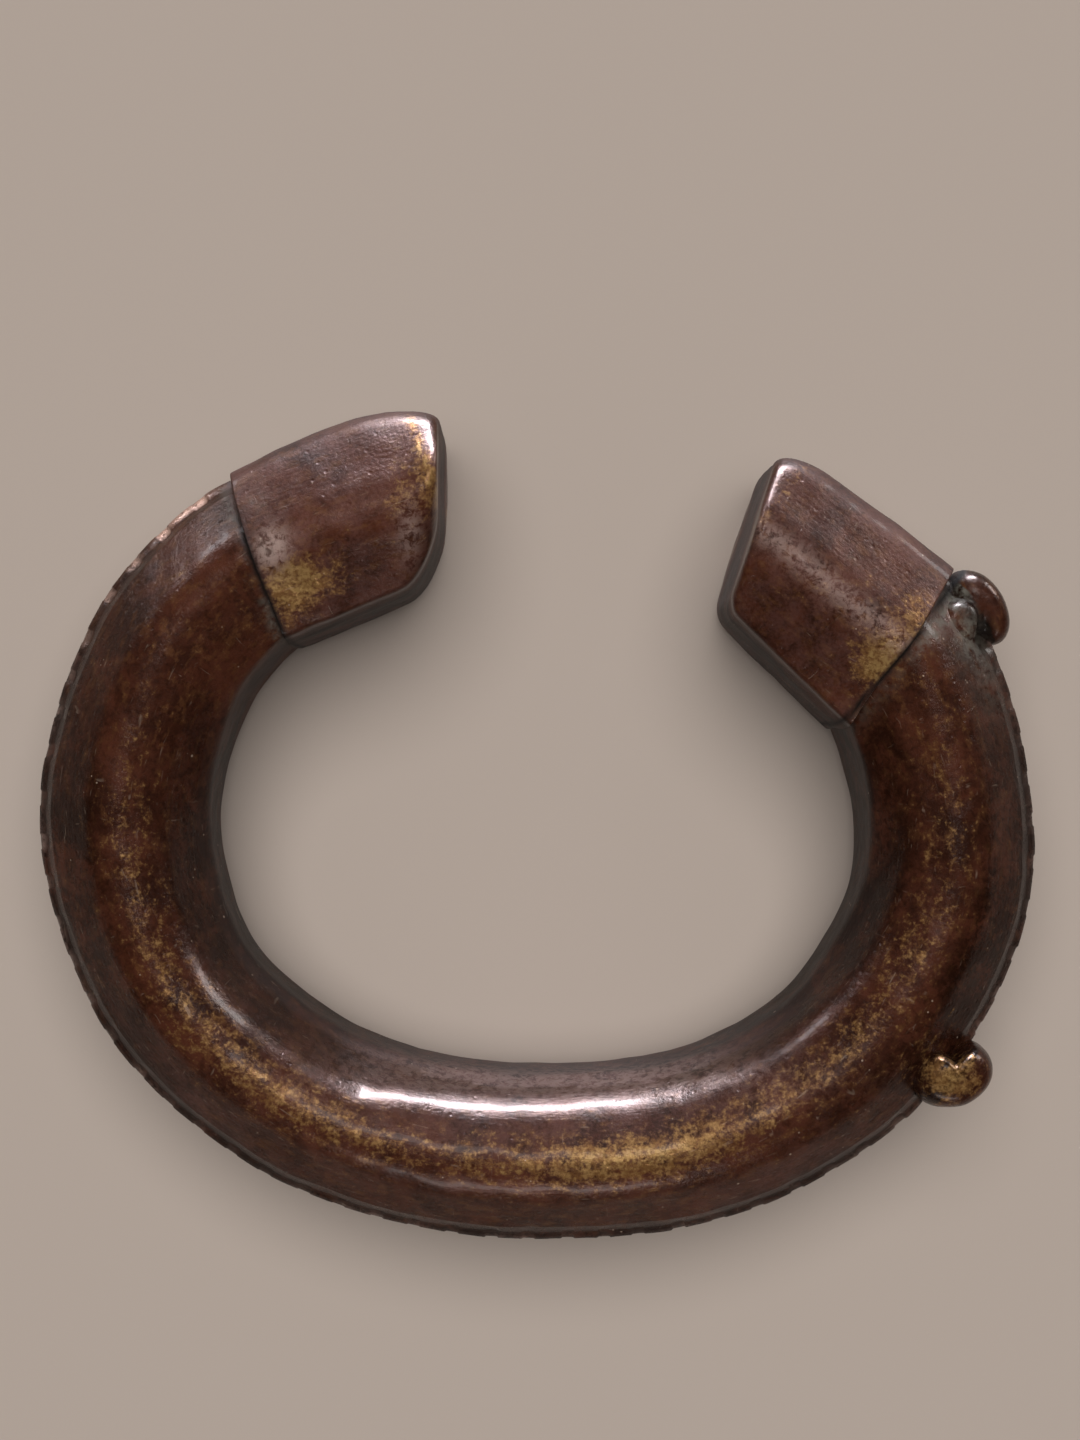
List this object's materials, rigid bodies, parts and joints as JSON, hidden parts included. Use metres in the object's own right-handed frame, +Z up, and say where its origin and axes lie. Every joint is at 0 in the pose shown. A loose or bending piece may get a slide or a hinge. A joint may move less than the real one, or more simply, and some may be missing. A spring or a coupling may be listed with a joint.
{
  "type": "open bracelet",
  "caption": "Heavy open bracelet: a thick bar bent into a wide C, with blunt, slightly raised terminals, small knobs and a ribbed outer edge.",
  "frame": {"origin": "on the surface it lies on, under the middle of the casting's box", "axes": "+Z up, out of the front of the bracelet, which lies on its back; +Y from the foot of the C towards the gap between the terminals; +X towards the side with the knobs"},
  "size_m": [0.093, 0.0772, 0.0236],
  "materials": {
    "copper_alloy": "dark reddish brown patina, polished by wear, with golden metal on the raised lines and grey-green traces in the corners"
  },
  "bodies": {
    "root": {"bracelet": "copper_alloy"}
  },
  "joints": []
}
